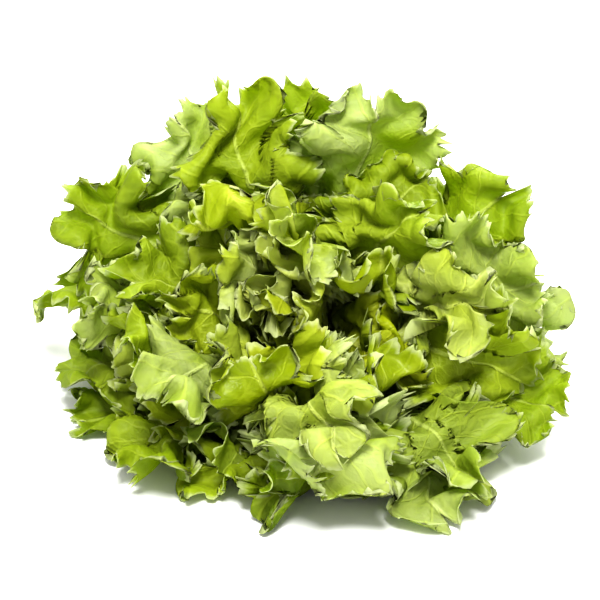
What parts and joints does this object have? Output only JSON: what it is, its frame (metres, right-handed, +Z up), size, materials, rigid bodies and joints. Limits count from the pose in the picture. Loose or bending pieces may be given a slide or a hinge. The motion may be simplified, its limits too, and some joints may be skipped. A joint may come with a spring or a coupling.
{
  "type": "endive head",
  "caption": "Head of broad-leaved endive lying on its side, ruffled leaves spiralling round a short cut stem.",
  "frame": {"origin": "middle of the rectangle that the lying head covers, on the surface it lies on", "axes": "+Z up; the open heart faces -Y, turned a little towards -X, and the cut stem is at the back, towards +Y"},
  "size_m": [0.3408, 0.2516, 0.1967],
  "materials": {
    "crown": "cream-white cut stem, slightly moist",
    "heart_leaf": "pale yellow-green, thin and satin",
    "inner_leaf": "light yellow-green, satin, see-through to light",
    "middle_leaf": "fresh green, satin, paler veins",
    "outer_leaf": "deeper green, satin, with a pale midrib"
  },
  "bodies": {
    "root": {"crown": "crown", "heart_leaf_01": "heart_leaf", "heart_leaf_02": "heart_leaf", "heart_leaf_03": "heart_leaf", "heart_leaf_04": "heart_leaf", "heart_leaf_05": "heart_leaf", "heart_leaf_06": "heart_leaf", "heart_leaf_07": "heart_leaf", "heart_leaf_08": "heart_leaf", "heart_leaf_09": "heart_leaf", "heart_leaf_10": "heart_leaf", "heart_leaf_11": "heart_leaf", "heart_leaf_12": "heart_leaf", "heart_leaf_13": "heart_leaf", "heart_leaf_14": "heart_leaf", "inner_leaf_01": "inner_leaf", "inner_leaf_02": "inner_leaf", "inner_leaf_03": "inner_leaf", "inner_leaf_04": "inner_leaf", "inner_leaf_05": "inner_leaf", "inner_leaf_06": "inner_leaf", "inner_leaf_07": "inner_leaf", "inner_leaf_08": "inner_leaf", "inner_leaf_09": "inner_leaf", "inner_leaf_10": "inner_leaf", "inner_leaf_11": "inner_leaf", "inner_leaf_12": "inner_leaf", "inner_leaf_13": "inner_leaf", "inner_leaf_14": "inner_leaf", "middle_leaf_01": "middle_leaf", "middle_leaf_02": "middle_leaf", "middle_leaf_03": "middle_leaf", "middle_leaf_04": "middle_leaf", "middle_leaf_05": "middle_leaf", "middle_leaf_06": "middle_leaf", "middle_leaf_07": "middle_leaf", "middle_leaf_08": "middle_leaf", "middle_leaf_09": "middle_leaf", "middle_leaf_10": "middle_leaf", "middle_leaf_11": "middle_leaf", "middle_leaf_12": "middle_leaf", "middle_leaf_13": "middle_leaf", "middle_leaf_14": "middle_leaf", "outer_leaf_01": "outer_leaf", "outer_leaf_02": "outer_leaf", "outer_leaf_03": "outer_leaf", "outer_leaf_04": "outer_leaf", "outer_leaf_05": "outer_leaf", "outer_leaf_06": "outer_leaf", "outer_leaf_07": "outer_leaf", "outer_leaf_08": "outer_leaf", "outer_leaf_09": "outer_leaf", "outer_leaf_10": "outer_leaf", "outer_leaf_11": "outer_leaf", "outer_leaf_12": "outer_leaf", "outer_leaf_13": "outer_leaf", "outer_leaf_14": "outer_leaf"}
  },
  "joints": []
}
